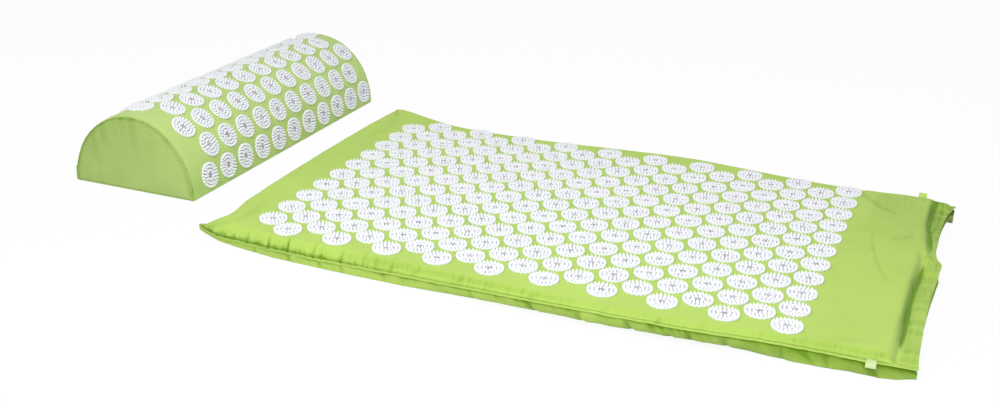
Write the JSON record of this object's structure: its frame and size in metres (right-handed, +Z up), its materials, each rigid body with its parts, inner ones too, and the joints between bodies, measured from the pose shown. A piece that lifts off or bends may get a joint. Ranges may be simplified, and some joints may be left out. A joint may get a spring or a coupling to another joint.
{
  "type": "acupressure mat and pillow set",
  "caption": "Foam mat in a sewn cloth cover with staggered spiked plastic discs and an open foot flap, with a loose half-round spiked pillow that zips at the back.",
  "frame": {"origin": "on the face that the mat rests on, under the middle of its disc field", "axes": "+X along the mat towards its open foot flap, +Y across the mat towards the far side in the picture, +Z up"},
  "size_m": [0.9349, 0.5389, 0.0903],
  "materials": {
    "mat_cloth": "plain-woven cotton, lime green, with moulded white plastic discs fixed to the top panel",
    "pillow_cloth": "plain-woven cotton, lime green, with moulded white plastic discs fixed to the curved panel",
    "foam": "open-cell foam, cream",
    "tape": "woven tape, lime green",
    "ribbon": "thin satin ribbon, pale green",
    "zip_metal": "plated zip fittings, bright"
  },
  "bodies": {
    "mat_cover": {"mat_top_panel": "mat_cloth", "mat_bottom_panel": "mat_cloth", "mat_flap_lower": "mat_cloth", "mat_loop_tape": "tape", "mat_ribbon_near": "ribbon", "mat_ribbon_far": "ribbon"},
    "mat_foam": {"mat_foam_pad": "foam"},
    "end_flap": {"mat_flap_upper": "mat_cloth", "mat_hook_tape": "tape"},
    "pillow": {"pillow_top_panel": "pillow_cloth", "pillow_end_near": "pillow_cloth", "pillow_end_far": "pillow_cloth", "pillow_base_panel": "pillow_cloth", "pillow_foam_core": "foam", "pillow_zip_tape_upper": "tape", "pillow_zip_tape_lower": "tape", "pillow_zip_stop_near": "zip_metal", "pillow_zip_stop_far": "zip_metal"},
    "zip_slider": {"pillow_zip_slider": "zip_metal"},
    "zip_pull": {"pillow_zip_pull": "zip_metal"}
  },
  "joints": [
    {"name": "foam_slide", "type": "slide", "parent": "mat_cover", "child": "mat_foam", "axis": [1, 0, 0], "range_m": [0, 0.71], "deforming": ["mat_flap_upper", "mat_hook_tape"]},
    {"name": "flap_hinge", "type": "hinge", "parent": "mat_cover", "child": "end_flap", "pos_m": [0.34475, 0, 0.023], "axis": [0, -1, 0], "range_deg": [0, 170]},
    {"name": "pillow_lift", "type": "slide", "parent": "mat_cover", "child": "pillow", "axis": [0, 0, 1], "range_m": [0, 0.25]},
    {"name": "zip_slide", "type": "slide", "parent": "pillow", "child": "zip_slider", "axis": [0, -1, 0], "range_m": [0, 0.37]},
    {"name": "zip_pull_hinge", "type": "hinge", "parent": "zip_slider", "child": "zip_pull", "pos_m": [-0.55573, 0.2877, 0.00902], "axis": [0, 0, 1], "range_deg": [0, 170]}
  ]
}
